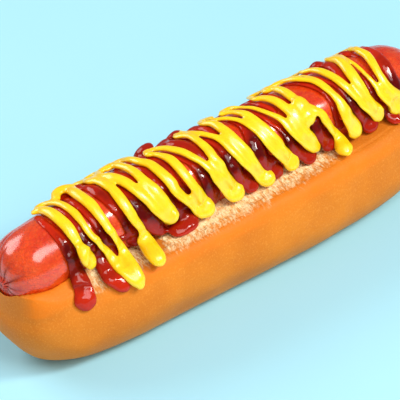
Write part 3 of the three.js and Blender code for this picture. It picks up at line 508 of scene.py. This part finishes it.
# ---- materials ----
def bun_material():
    material, tree, shader = new_material("baked bun")
    where = placed(tree)
    cloudy = noise_at(tree, where, 24, 2)
    speckle = noise_at(tree, where, 1.3, 3, 0.65)
    grain = noise_at(tree, where, 0.6, 2, 0.6)
    crust = mixed(tree, ramp(tree, cloudy, 0.36, 0.66), (0.56, 0.150, 0.009), (0.66, 0.192, 0.012))
    crust = mixed(tree, ramp(tree, speckle, 0.54, 0.78, 0, 0.38), crust, (0.52, 0.13, 0.012))
    crust = mixed(tree, ramp(tree, grain, 0.52, 0.72, 0, 0.30), crust, (0.84, 0.36, 0.065))
    # Browned rim, plus painted shade that darkens the crust's low left end
    crust = mixed(tree, attribute(tree, "baked_and_shade"), crust, (0.80, 0.175, 0.004))
    crust = mixed(tree, attribute(tree, "pale"), crust, (0.84, 0.40, 0.14))

    streaky = noise_at(tree, placed(tree, (1, 0.4, 0.4)), 0.9, 3, 0.65)
    pores = add(tree, "ShaderNodeTexVoronoi", Scale=0.9)
    tree.links.new(where, pores.inputs["Vector"])
    crumb = mixed(tree, ramp(tree, streaky, 0.34, 0.58), (0.88, 0.44, 0.13), (0.97, 0.76, 0.44))
    specks = noise_at(tree, where, 0.9, 2, 0.7)
    crumb = mixed(tree, ramp(tree, specks, 0.57, 0.70, 0, 0.8), crumb, (0.50, 0.19, 0.05))
    holes = ramp(tree, pores.outputs["Distance"], 0.05, 0.3, 0.6, 0)
    crumb = mixed(tree, holes, crumb, (0.60, 0.26, 0.08))
    torn = attribute(tree, "crumb")
    rough_edge = math_node(tree, "ADD", torn, ramp(tree, streaky, 0.25, 0.75, -0.38, 0.38))
    share = math_node(tree, "MULTIPLY", ramp(tree, rough_edge, 0.15, 0.8),
                      ramp(tree, torn, 0.02, 0.25))
    relief = math_node(tree, "MULTIPLY", share, streaky)
    bump_from(tree, shader, (speckle, 0.14), (grain, 0.09), (relief, 0.7))
    finish_shader(tree, shader, Base_Color=mixed(tree, share, crust, crumb),
                  Roughness=ramp(tree, share, 0, 1, 0.55, 0.9), Coat_Weight=0.04,
                  Coat_Roughness=0.4, Specular_IOR_Level=0.15)
    return material


def sausage_material():
    material, tree, shader = new_material("sausage skin")
    where = placed(tree)
    cloudy = noise_at(tree, where, 12, 3)
    mottled = noise_at(tree, placed(tree, (0.6, 1, 1)), 1.6, 3, 0.6)
    grain = noise_at(tree, where, 0.85, 2, 0.6, 0.8)
    share = ramp(tree, cloudy, 0.35, 0.68)
    colour = mixed(tree, share, (0.62, 0.022, 0.001), (0.80, 0.062, 0.002))
    colour = mixed(tree, ramp(tree, mottled, 0.45, 0.75, 0, 0.4), colour, (0.84, 0.13, 0.010))
    creases = attribute(tree, "crease")
    # Painted shade: the creases of the pucker are darkened
    colour = mixed(tree, creases, colour, (0.10, 0.003, 0.001))
    bump_from(tree, shader, (mottled, 0.25), (grain, 0.9))
    finish_shader(tree, shader, Base_Color=colour,
                  Roughness=ramp(tree, mottled, 0.3, 0.7, 0.3, 0.42),
                  Coat_Weight=ramp(tree, creases, 0.05, 0.6, 0.9, 0.1),
                  Coat_Roughness=0.17, Coat_IOR=1.7, Specular_IOR_Level=0.1)
    return material


def ketchup_material():
    material, tree, shader = new_material("ketchup")
    where = placed(tree)
    mottled = noise_at(tree, where, 3.5, 2)
    # Darker where the ketchup is thick, plus painted shade on its near flank and in the valley
    depth = attribute(tree, "depth")
    share = ramp(tree, depth, 0.15, 1.0)
    colour = mixed(tree, share, (0.47, 0.017, 0.003), (0.08, 0.0008, 0.0005))
    colour = mixed(tree, ramp(tree, mottled, 0.45, 0.8, 0, 0.3), colour, (0.42, 0.009, 0.002))
    ripple = noise_at(tree, where, 2.2, 2, 0.5)
    bump_from(tree, shader, (ripple, 0.4))
    finish_shader(tree, shader, Base_Color=colour, Roughness=0.14, Coat_Weight=0.5,
                  Coat_Roughness=0.03, Specular_IOR_Level=0.04)
    return material


def mustard_material():
    material, tree, shader = new_material("mustard")
    where = placed(tree)
    mottled = noise_at(tree, where, 4, 2)
    flow = add(tree, "ShaderNodeUVMap", uv_map="flow")
    stretch = add(tree, "ShaderNodeMapping", Scale=(1.0, 0.06, 1.0))
    tree.links.new(flow.outputs["UV"], stretch.inputs["Vector"])
    # Painted highlight: paler streaks along each bead's flow
    highlight_streaks = noise_at(tree, stretch.outputs["Vector"], 0.0075, 2, 0.5)
    colour = mixed(tree, ramp(tree, mottled, 0.35, 0.7), (0.95, 0.53, 0.002), (0.96, 0.61, 0.005))
    colour = mixed(tree, ramp(tree, highlight_streaks, 0.5, 0.75, 0, 0.4), colour, (0.97, 0.73, 0.03))
    bump_from(tree, shader, (mottled, 0.12))
    finish_shader(tree, shader, Base_Color=colour, Roughness=0.3, Coat_Weight=0.4,
                  Coat_Roughness=0.15, Subsurface_Weight=0.35, Subsurface_Scale=0.0025,
                  Subsurface_Radius=(1.0, 0.75, 0.12))
    return material


def floor_material():
    material, tree, shader = new_material("pale board")
    where = placed(tree)
    cloudy = noise_at(tree, where, 180, 2)
    colour = mixed(tree, cloudy, (0.34, 0.68, 0.83), (0.38, 0.72, 0.86))
    finish_shader(tree, shader, Base_Color=colour, Roughness=0.6)
    return material


# ---- bun ----
def outline_turns():
    """Turning angles spaced evenly along the bun's outline, in pairs that mirror each other.

    The innermost rows of the bun shrink to a line, where each pair of points meets and is merged.
    """
    turns = np.linspace(0, math.pi, OUTLINE_STEPS + 1)
    points = outline_points(turns, 0.0)
    steps = np.linalg.norm(np.diff(points, axis=0), axis=1)
    length = np.concatenate([[0], np.cumsum(steps)])
    half = np.interp(np.linspace(0, length[-1], BUN_COLUMNS // 2 + 1), length, turns)
    return np.concatenate([half, 2 * math.pi - half[-2:0:-1]])


def outline_points(turns, inset):
    along, side = np.cos(turns), np.sin(turns)
    power = np.where(along < 0, 2 / BUN_LEFT_ROUND, 2 / BUN_RIGHT_ROUND)
    x = (BUN_LENGTH / 2 - inset) * np.sign(along) * np.abs(along) ** power
    y = (BUN_WIDTH / 2 - inset) * np.sign(side) * np.abs(side) ** (2 / BUN_SIDE_ROUND)
    return np.stack([x, y], 1)


def trough_height(x, y):
    radius = sausage_radius(x)
    inside = np.abs(y) < radius
    deep = np.sqrt(np.clip(radius**2 - y**2, 0, None))
    return np.where(inside, SAUSAGE_HEIGHT - sag(x) - deep, 1e6)


def crumb_share(x, y):
    """Where the split in the top is torn open to bare crumb, on the side that shows more."""
    inner = np.abs(y)
    wander = bumps(np.stack([x, y, 0 * x], 1), 7, 14, 3)
    place = x + CRUMB_WANDER * wander
    middle = smoothstep(place, *CRUMB_START) * (1 - smoothstep(place, *CRUMB_END))
    patches = 0.8 * mound(x, -64, 4.5) + 0.9 * mound(x, -47.5, 4.5)
    length_wise = np.clip(middle + patches * (y < 0), 0, 1)
    edge = LEDGE_EDGE - 1.3 - 2.2 * smoothstep(x, 20, 50) + 1.2 * wander
    edge = edge - 7 * (1 - smoothstep(length_wise, 0, 0.8)) * (y > 0)
    strength = 1 - 0.15 * smoothstep(x, -5, 35)
    return length_wise * strength * (1 - smoothstep(inner, edge - 8.0, edge + 1.2))


def build_bun():
    turns = outline_turns()
    left_end = smoothstep(-np.cos(turns), 0.72, 0.96)
    rows = []
    for inset in np.linspace(BUN_WIDTH / 2, BUN_BASE_ROUND, BASE_ROWS):
        rows.append((inset, 0.0, 0.0, 0.0))
    for turn in np.linspace(0, math.pi / 2, WALL_ROWS)[1:]:
        height = BUN_BASE_ROUND * (1 - math.cos(turn))
        rows.append((BUN_BASE_ROUND * (1 - math.sin(turn)), height, 0.0,
                     END_BULGE * smoothstep(height, *BULGE_RISE)))
    for turn in np.linspace(0, math.pi / 2, RIM_ROWS)[1:]:
        inset = BUN_RIM_ROUND * (1 - math.cos(turn))
        height = lerp(BUN_BASE_ROUND, BUN_HEIGHT, math.sin(turn))
        bulge = END_BULGE * smoothstep(height, *BULGE_RISE)
        bulge *= 1 - 0.35 * smoothstep(height, 24, 33)
        rows.append((inset, height, 0.0, END_FULLNESS * inset + bulge))
    lip_inset = BUN_WIDTH / 2 - LIP_OUT + GAP
    for share in 1 - (1 - np.linspace(0, 1, TOP_ROWS)[1:]) ** 1.35:
        rows.append((lerp(BUN_RIM_ROUND, lip_inset, share),
                     lerp(BUN_HEIGHT, LIP_HEIGHT, share), 1.0,
                     (END_FULLNESS * BUN_RIM_ROUND + 0.65 * END_BULGE) * (1 - share)))
    for inset in np.linspace(lip_inset, BUN_WIDTH / 2, TROUGH_ROWS)[1:]:
        rows.append((inset, LIP_HEIGHT, 1.0, 0.0))

    points, top = [], []
    for inset, height, on_top, fuller in rows:
        tuck = END_TUCK * (1 - smoothstep(height, 6, 24)) if inset < BUN_BASE_ROUND else 0
        flat = outline_points(turns, inset + left_end * (tuck - fuller))
        waist = WAIST * mound(flat[:, 0], WAIST_AT, WAIST_LONG) * (1 - smoothstep(height, 6, 22))
        flat[:, 1] *= 1 - waist
        z = height * (1 - sag(flat[:, 0]) / BUN_HEIGHT)
        points.append(np.column_stack([flat, z]))
        top.append(np.full(len(flat), on_top))
    points, top = np.concatenate(points), np.concatenate(top)
    mesh = new_mesh("baked_bun", points, ring_faces(len(rows), len(turns)))

    normals = vertex_array(mesh, "normal")
    x, y, z = points.T
    lumps = bumps(points, 26, 1) * 0.55 + bumps(points, 9, 2) * 0.16
    lumps -= 0.4 + HOLLOW * mound(x, HOLLOW_AT, HOLLOW_LONG)
    free = smoothstep(z, 0.5, 9) * (1 - 0.7 * top)
    points = points + normals * (lumps * free)[:, None]
    roll = 1.4 * smoothstep(-x, 45, 72) * (1 - smoothstep(np.abs(y), 12.4, 17))
    points[:, 2] += (lip_rise(x, y) + roll) * smoothstep(z + sag(x), 28.8, 33.2)
    crumb = crumb_share(x, y) * smoothstep(z, 28, 31)
    fibres = bumps(points * [1, 0.5, 0.5], 1.4, 3, 3)
    pits = bumps(points, 1.1, 4, 2)
    points[:, 2] += crumb * (0.28 * fibres - 0.5 * np.clip(pits - 0.12, 0, 1))
    points[:, 2] = np.minimum(points[:, 2], trough_height(points[:, 0], points[:, 1]))
    points[:, 2] = np.maximum(points[:, 2], 0)
    move_vertices(mesh, points * MM)

    shell = bmesh.new()
    shell.from_mesh(mesh)
    bmesh.ops.remove_doubles(shell, verts=shell.verts, dist=1e-6)
    bmesh.ops.dissolve_degenerate(shell, edges=shell.edges, dist=1e-7)
    bmesh.ops.recalc_face_normals(shell, faces=shell.faces)
    shell.to_mesh(mesh)
    shell.free()

    points = vertex_array(mesh) / MM
    x, y, z = points.T
    level = z + sag(x)
    crumb = crumb_share(x, y) * smoothstep(level, 29.5, 31.5)
    ring = mound(np.abs(y) - LEDGE_EDGE, -0.6, 2.1) * smoothstep(level, 26, 30)
    split = mound(np.abs(y), 14.5, 3.5) * smoothstep(-x, 60, 70)
    ring = np.maximum(ring, split * smoothstep(level, 30, 32))
    baked_and_shade = ring * (0.75 + 0.4 * bumps(points, 5, 6))
    # Painted shade: the low left end of the crust is tinted darker and kept from the paler bottom
    left_low_shade = smoothstep(-x, 45, 85) * (1 - smoothstep(z, 8, 22))
    baked_and_shade = np.clip(np.maximum(baked_and_shade, 0.1 * left_low_shade), 0, 1)
    pale = np.clip((1 - smoothstep(z, 1, 8)) * 0.5, 0, 1) * (1 - left_low_shade)
    set_attribute(mesh, "crumb", np.clip(crumb, 0, 1))
    set_attribute(mesh, "baked_and_shade", baked_and_shade)
    set_attribute(mesh, "pale", pale)
    mesh.shade_smooth()
    return new_piece("baked_bun", mesh, bun_material())


# ---- sausage ----
def build_sausage():
    half = SAUSAGE_LENGTH / 2
    near_tip = np.concatenate([[0.0], np.geomspace(0.03, SAUSAGE_END, TIP_ROWS)])
    middle = np.linspace(SAUSAGE_END, SAUSAGE_LENGTH - SAUSAGE_END, MIDDLE_ROWS)[1:-1]
    stations = np.concatenate([near_tip, middle, SAUSAGE_LENGTH - near_tip[::-1]]) - half
    stations[:len(near_tip)] -= LEFT_REACH
    turns = np.linspace(0, 2 * math.pi, SAUSAGE_COLUMNS + 1)[:-1]
    radius = sausage_radius(stations)
    rings = np.stack([
        np.repeat(stations[:, None], SAUSAGE_COLUMNS, 1),
        radius[:, None] * np.sin(turns)[None, :],
        radius[:, None] * np.cos(turns)[None, :],
    ], 2)
    from_tip = np.abs(radius / SKIN_RADIUS)
    folds = np.zeros(rings.shape[:2])
    for end in (-1, 1):
        here = (np.sign(stations) == end)[:, None]
        drift = 0.9 * np.sin(2 * turns + end) + 0.5 * np.sin(3 * turns + 2.1 * end)
        wave = np.abs(np.sin((PUCKER_FOLDS * turns + drift * 2.2) / 2)) ** 0.62
        reach = 0.7 + 0.16 * np.sin(5 * turns + end)
        strength = np.exp(-((from_tip[:, None] / reach[None, :]) ** 4))
        folds += here * (1 - wave)[None, :] ** 1.25 * strength
    grow = smoothstep(from_tip, 0.02, 0.22)
    depth = FOLD_DEPTH * folds * grow[:, None]
    knot = 1.5 * np.exp(-((radius / KNOT_RADIUS) ** 4)) - 1.9 * mound(radius, 0, 4.6)
    inward = -np.sign(stations)
    shrink = 1 - depth / np.maximum(radius, 1.2)[:, None]
    rings[:, :, 1:] *= shrink[:, :, None]
    rings[:, :, 0] += (inward * -knot)[:, None]
    droop = (1 - smoothstep(radius, 0, 11)) * PUCKER_DROOP
    rings[:, :, 1] -= (droop * 0.45)[:, None]
    rings[:, :, 2] -= droop[:, None]
    flat = rings.reshape(-1, 3)
    lumps = bumps(flat, 16, 8) * 0.28 + bumps(flat, 5, 9) * 0.06
    away = flat.copy()
    away[:, 0] = 0
    away /= np.maximum(np.linalg.norm(away, axis=1), 1e-6)[:, None]
    flat = flat + away * (lumps * np.clip(np.linalg.norm(flat[:, 1:], axis=1) / 6, 0, 1))[:, None]
    flat[:, 2] += SAUSAGE_HEIGHT - sag(flat[:, 0])

    count = SAUSAGE_COLUMNS
    inner = flat[count:-count]
    tips = [flat[:count].mean(0), flat[-count:].mean(0)]
    points = np.vstack([inner, tips])
    rows = len(stations) - 2
    faces = [(a, d, c, b) for a, b, c, d in ring_faces(rows, count)]
    left_tip, right_tip = len(inner), len(inner) + 1
    last = (rows - 1) * count
    for k in range(count):
        after = (k + 1) % count
        faces.append((k, after, left_tip))
        faces.append((last + after, last + k, right_tip))
    mesh = new_mesh("grilled_sausage", points, faces)
    # How deep each fold of the pucker is, used to paint shade into the creases
    crease = np.clip(folds * grow[:, None], 0, 1).reshape(-1)[count:-count]
    crease = np.concatenate([crease, [1, 1]])
    set_attribute(mesh, "crease", np.clip(crease * 1.1, 0, 1))
    mesh.shade_smooth()
    return new_piece("grilled_sausage", mesh, sausage_material())


# ---- piped sauces ----
def through(rows):
    """A smooth, evenly stepped run through given points along the bun and across it."""
    ends = np.vstack([2 * rows[0] - rows[1], rows, 2 * rows[-1] - rows[-2]])
    out = []
    for p0, p1, p2, p3 in zip(ends, ends[1:], ends[2:], ends[3:]):
        count = max(2, int(np.linalg.norm((p2 - p1)[:2]) / (BEAD_STEP / 4)))
        t = np.linspace(0, 1, count, endpoint=False)[:, None]
        out.append(0.5 * (2 * p1 + (p2 - p0) * t + (2 * p0 - 5 * p1 + 4 * p2 - p3) * t**2
                          + (3 * p1 - p0 - 3 * p2 + p3) * t**3))
    run = np.vstack([*out, rows[-1:]])
    steps = np.linalg.norm(np.diff(run[:, :2], axis=0), axis=1)
    length = np.concatenate([[0], np.cumsum(steps)])
    wanted = np.linspace(0, length[-1], max(3, int(length[-1] / BEAD_STEP)) + 1)
    return np.stack([np.interp(wanted, length, column) for column in run.T], 1), wanted


def strand_points(rows, lift_at, tip):
    """Places, widths and outward directions along one strand, with rounded ends."""
    rows = np.asarray(rows, float)
    ahead = rows[-1, :2] - rows[-2, :2]
    end = rows[-1].copy()
    end[:2] += ahead / np.linalg.norm(ahead) * rows[-1, 2] * tip
    if tip:
        rows = np.vstack([rows, end])
    run, length = through(rows)
    places, outward = [], []
    for x, across, half, raised in run:
        lift = lift_at(x, across, half) + raised
        place = drape_point(x, across, lift)
        places.append(place)
        outward.append(drape_point(x, across, lift + 1) - place)
    places, half = np.array(places), run[:, 2].copy()
    total = length[-1]
    for left, size in ((length, half[0]), (total - length, half[-1])):
        share = np.clip(left / max(size, 0.3), 0, 1)
        half *= np.sqrt(np.clip(1 - (1 - share) ** 2, 0.02, 1))
    return places, half, np.array(outward), length


def bead_tree(material, flatness):
    """Geometry nodes that turn runs of points into beads of sauce."""
    tree = bpy.data.node_groups.new("piped bead", "GeometryNodeTree")
    for way in ("INPUT", "OUTPUT"):
        tree.interface.new_socket("Geometry", in_out=way, socket_type="NodeSocketGeometry")

    def field(name, kind):
        made = add(tree, "GeometryNodeInputNamedAttribute", data_type=kind, Name=name)
        return made.outputs["Attribute"]

    start = add(tree, "NodeGroupInput")
    curve = add(tree, "GeometryNodeMeshToCurve")
    facing = add(tree, "GeometryNodeSetCurveNormal", mode="FREE")
    ring = add(tree, "GeometryNodeCurvePrimitiveCircle", mode="RADIUS", Radius=1.0,
               Resolution=BEAD_SIDES)
    squash = add(tree, "GeometryNodeTransform", Scale=(flatness, 1.0, 1.0))
    skin = add(tree, "GeometryNodeCurveToMesh", Fill_Caps=True)
    finish = add(tree, "GeometryNodeSetMaterial", Material=material)
    end = add(tree, "NodeGroupOutput")
    for output, node, name in (
        (start.outputs["Geometry"], curve, "Mesh"), (curve.outputs["Curve"], facing, "Curve"),
        (field("outward", "FLOAT_VECTOR"), facing, "Normal"),
        (ring.outputs["Curve"], squash, "Geometry"), (facing.outputs["Curve"], skin, "Curve"),
        (squash.outputs["Geometry"], skin, "Profile Curve"),
        (field("half_width", "FLOAT"), skin, "Scale"),
        (skin.outputs["Mesh"], finish, "Geometry"), (finish.outputs["Geometry"], end, "Geometry"),
    ):
        tree.links.new(output, node.inputs[name])
    return tree


def neighbours_mean(mesh, points, rounds, share=0.5):
    """Evens out a mesh: each vertex moves part of the way to the mean of its neighbours."""
    edges = np.zeros(len(mesh.edges) * 2, np.int32)
    mesh.edges.foreach_get("vertices", edges)
    a, b = edges.reshape(-1, 2).T
    count = np.bincount(a, minlength=len(points)) + np.bincount(b, minlength=len(points))
    for _ in range(rounds):
        total = np.zeros_like(points)
        for axis in range(points.shape[1]):
            total[:, axis] = np.bincount(a, points[b, axis], len(points)) + np.bincount(
                b, points[a, axis], len(points))
        points = lerp(points, total / np.maximum(count, 1)[:, None], share)
    return points


def fill_hollows(mesh, points, rounds, share=0.6):
    """Lifts only the hollows of a mesh, so beads that lie side by side run into one ribbon."""
    for _ in range(rounds):
        move_vertices(mesh, points * MM)
        normals = vertex_array(mesh, "normal")
        hollow = ((neighbours_mean(mesh, points, 1, 1.0) - points) * normals).sum(1)
        points = points + normals * (share * np.clip(hollow, 0, None))[:, None]
    return points


def build_sauce(name, strands, turns, material, flatness, lift_at, rounds, extra, tip):
    """One piece of sauce from its strands and the turns that join them."""
    strands = {
        k: np.array([(*row, 0.0)[:4] for row in rows], float) for k, rows in strands.items()
    }
    for rows in strands.values():
        rows[:, 2] += extra
    runs = [(rows, tip) for rows in strands.values()]
    for first, second in turns:
        a, b = strands[first][0], strands[second][0]
        low = min(a[1], b[1]) - min(1.2, abs(b[0] - a[0]) / 5)
        width = 0.5 * (a[2] + b[2])
        runs.append(([
            (a[0], a[1] + 0.6, a[2], a[3]), (lerp(a[0], b[0], 0.2), low, width, a[3]),
            (lerp(a[0], b[0], 0.8), low, width, b[3]), (b[0], b[1] + 0.6, b[2], b[3]),
        ], 0.0))
    points, half, outward, flow, edges = [], [], [], [], []
    for rows, end in runs:
        place, size, away, length = strand_points(rows, lift_at, end)
        base = len(points)
        points.extend(place)
        half.extend(size)
        outward.extend(away)
        flow.extend(length)
        edges.extend((base + k, base + k + 1) for k in range(len(place) - 1))
    mesh = bpy.data.meshes.new(name + "_runs")
    mesh.from_pydata([tuple(p) for p in np.array(points) * MM], edges, [])
    set_attribute(mesh, "half_width", (np.array(half) + FUSE_SWELL) * MM)
    set_attribute(mesh, "outward", outward, "FLOAT_VECTOR", "vector")
    piece = new_object(name, mesh)
    beads = piece.modifiers.new("beads", "NODES")
    beads.node_group = bead_tree(material, flatness)
    fuse = piece.modifiers.new("fuse", "REMESH")
    fuse.mode = "VOXEL"
    fuse.voxel_size = SAUCE_VOXEL * MM
    fuse.use_smooth_shade = True
    graph = bpy.context.evaluated_depsgraph_get()
    solid = bpy.data.meshes.new_from_object(piece.evaluated_get(graph))
    piece.modifiers.clear()
    piece.data = solid
    solid.materials.clear()
    solid.materials.append(material)

    places = vertex_array(solid) / MM
    for _ in range(FUSE_ROUNDS):
        places = places - vertex_array(solid, "normal") * FUSE_SWELL / FUSE_ROUNDS
        places = neighbours_mean(solid, places, 1)
        move_vertices(solid, places * MM)
    places = neighbours_mean(solid, places, rounds)
    tree_of_runs = kdtree.KDTree(len(points))
    for k, p in enumerate(points):
        tree_of_runs.insert(p, k)
    tree_of_runs.balance()
    nearest = np.array([tree_of_runs.find(p)[1] for p in places])
    points, outward, flow = np.array(points), np.array(outward), np.array(flow)
    ahead = np.roll(points, -1, 0) - points
    side = np.cross(outward[nearest], ahead[nearest])
    side /= np.maximum(np.linalg.norm(side, axis=1), 1e-6)[:, None]
    offset = ((places - points[nearest]) * side).sum(1)
    along = flow[nearest] + 7.3 * np.floor(nearest / 97)
    return piece, solid, places, offset, along


def finish_sauce(piece, mesh, places, offset, along):
    """Moves the sauce's vertices into place and maps its surface along the flow."""
    move_vertices(mesh, places * MM)
    corner_vertex = np.zeros(len(mesh.loops), np.int32)
    mesh.loops.foreach_get("vertex_index", corner_vertex)
    uv = np.stack([offset * 0.01, along * 0.01], 1)[corner_vertex]
    layer = mesh.uv_layers.new(name="flow")
    layer.data.foreach_set("uv", uv.astype(np.float32).ravel())
    mesh.shade_smooth()
    return piece


def mustard_lift(x, across, half):
    rest = float(smoothstep(across, 18, 26))
    far = float(smoothstep(-across, 3, 9) * smoothstep(x, -35, -20))
    return lerp(3.0, 1.9, rest) + 0.35 * (half - 2) - 0.3 * far


def ketchup_lift(x, across, half):
    rest = float(smoothstep(across, 17, 21))
    return lerp(1.05, 0.65, rest) + 0.2 * (half - 2)


def build_mustard():
    piece, mesh, places, offset, along = build_sauce(
        "piped_mustard", MUSTARD_STRANDS, MUSTARD_TURNS, mustard_material(), MUSTARD_FLATNESS,
        mustard_lift, MUSTARD_ROUNDS, MUSTARD_EXTRA, 1.0)
    places = fill_hollows(mesh, places, FILL_ROUNDS)
    return finish_sauce(piece, mesh, places, offset, along)


def build_ketchup():
    piece, mesh, places, offset, along = build_sauce(
        "poured_ketchup", KETCHUP_STRANDS, [], ketchup_material(), KETCHUP_FLATNESS,
        ketchup_lift, KETCHUP_ROUNDS, KETCHUP_EXTRA, 0.2)
    ripple = bumps(places, 3.2, 12, 2) * 0.16
    move_vertices(mesh, places * MM)
    normals = vertex_array(mesh, "normal")
    places = places + normals * ripple[:, None]
    x, y, z = places.T
    lying = np.hypot(y, z - (SAUSAGE_HEIGHT - sag(x))) - SKIN_RADIUS
    ledge = LIP_HEIGHT - LEDGE_FALL * (np.abs(y) - LIP_OUT) / (LEDGE_EDGE - LIP_OUT)
    over_bun = z - (ledge - sag(x))
    thick = np.where(np.abs(y) < 13, lying, np.minimum(lying, over_bun))
    # Painted shade: the near flank and the valley by the lip are darkened
    flank_shade = smoothstep(-y, -4, 7) * (1 - smoothstep(-y, 13.5, 16.5))
    valley = smoothstep(-y, 9, 12) * (1 - smoothstep(-y, 13, 15.5))
    dark = smoothstep(thick, 0.4, 2.2) * (0.5 + 0.4 * flank_shade)
    set_attribute(mesh, "depth", np.clip(dark + 0.6 * valley, 0, 1))
    return finish_sauce(piece, mesh, places, offset, along)


# ---- stage ----
CAMERA_TURN, CAMERA_RISE, CAMERA_ROLL = 36.0, 36.07, 4.39
CAMERA_DISTANCE, SENSOR_WIDTH = 1.2, 36
PIXEL, FRAME_PIXELS = 0.000352, 400
AIM_RIGHT, AIM_UP = -21, 55.5
BOARD_REACH = 3.0
SKY_COLOUR, SKY_STRENGTH = (1, 0.99, 0.97, 1), 0.22
# Each panel: name, direction towards it, distance, width, height, power, colour, seen in gloss.
PANELS = (
    ("key panel", (0.45, -0.59, 0.67), 1.4, 0.32, 0.34, 11.8, (1, 0.98, 0.94), True),
    ("back panel", (-0.35, 0.72, 0.60), 1.3, 1.2, 0.7, 11.0, (1, 1, 1), True),
    ("front panel", (0.0, -0.64, 0.77), 1.4, 0.80, 0.80, 11.0, (1, 0.98, 0.95), True),
    ("left fill", (-0.70, -0.66, 0.26), 1.4, 2.2, 1.4, 11.5, (1, 0.93, 0.84), False),
)


def camera_axes():
    turn, rise, roll = (math.radians(v) for v in (CAMERA_TURN, CAMERA_RISE, CAMERA_ROLL))
    back = Vector((-math.sin(turn) * math.cos(rise), -math.cos(turn) * math.cos(rise),
                   math.sin(rise)))
    level = Vector((math.cos(turn), -math.sin(turn), 0))
    upright = back.cross(level)
    right = level * math.cos(roll) - upright * math.sin(roll)
    up = level * math.sin(roll) + upright * math.cos(roll)
    return right, up, back


def build_camera():
    right, up, back = camera_axes()
    aim = right * (AIM_RIGHT * PIXEL) + up * (AIM_UP * PIXEL)
    data = bpy.data.cameras.new("camera")
    data.sensor_width = SENSOR_WIDTH
    data.lens = SENSOR_WIDTH * CAMERA_DISTANCE / (FRAME_PIXELS * PIXEL)
    data.clip_start, data.clip_end = 0.05, 20
    camera = new_object("camera", data)
    turned = Matrix((right, up, back)).transposed()
    camera.matrix_world = Matrix.Translation(aim + back * CAMERA_DISTANCE) @ turned.to_4x4()
    bpy.context.scene.camera = camera


def soft_light(name, towards, distance, width, height, power, colour, gloss):
    """A soft panel of light that shines on the middle of the hot dog from a direction."""
    data = bpy.data.lights.new(name, "AREA")
    data.shape = "ELLIPSE"
    data.size, data.size_y = width, height
    data.energy = power
    data.color = colour
    lamp = new_object(name, data)
    direction = Vector(towards).normalized()
    lamp.location = direction * distance + Vector((0, 0, 0.03))
    lamp.rotation_mode = "QUATERNION"
    lamp.rotation_quaternion = direction.to_track_quat("Z", "Y")
    lamp.visible_glossy = gloss


def build_stage():
    mesh = bpy.data.meshes.new("board")
    far = BOARD_REACH
    mesh.from_pydata([(-far, -far, 0), (far, -far, 0), (far, far, 0), (-far, far, 0)],
                     [], [(0, 1, 2, 3)])
    floor = new_piece("board", mesh, floor_material())
    for panel in PANELS:
        soft_light(*panel)
    world = bpy.data.worlds.new("studio")
    world.use_nodes = True
    sky = world.node_tree.nodes["Background"]
    sky.inputs["Color"].default_value = SKY_COLOUR
    sky.inputs["Strength"].default_value = SKY_STRENGTH
    bpy.context.scene.world = world
    bpy.context.scene.view_settings.view_transform = "Standard"


# ---- assembly ----
build_camera()
build_stage()
bun = build_bun()
sausage = build_sausage()
ketchup = build_ketchup()
mustard = build_mustard()
for piece, node, slot in (
    (bun, "bun", "crust"), (sausage, "sausage", "skin"),
    (ketchup, "ketchup", "ketchup"), (mustard, "mustard", "mustard"),
):
    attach(piece, "root")
    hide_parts(node)
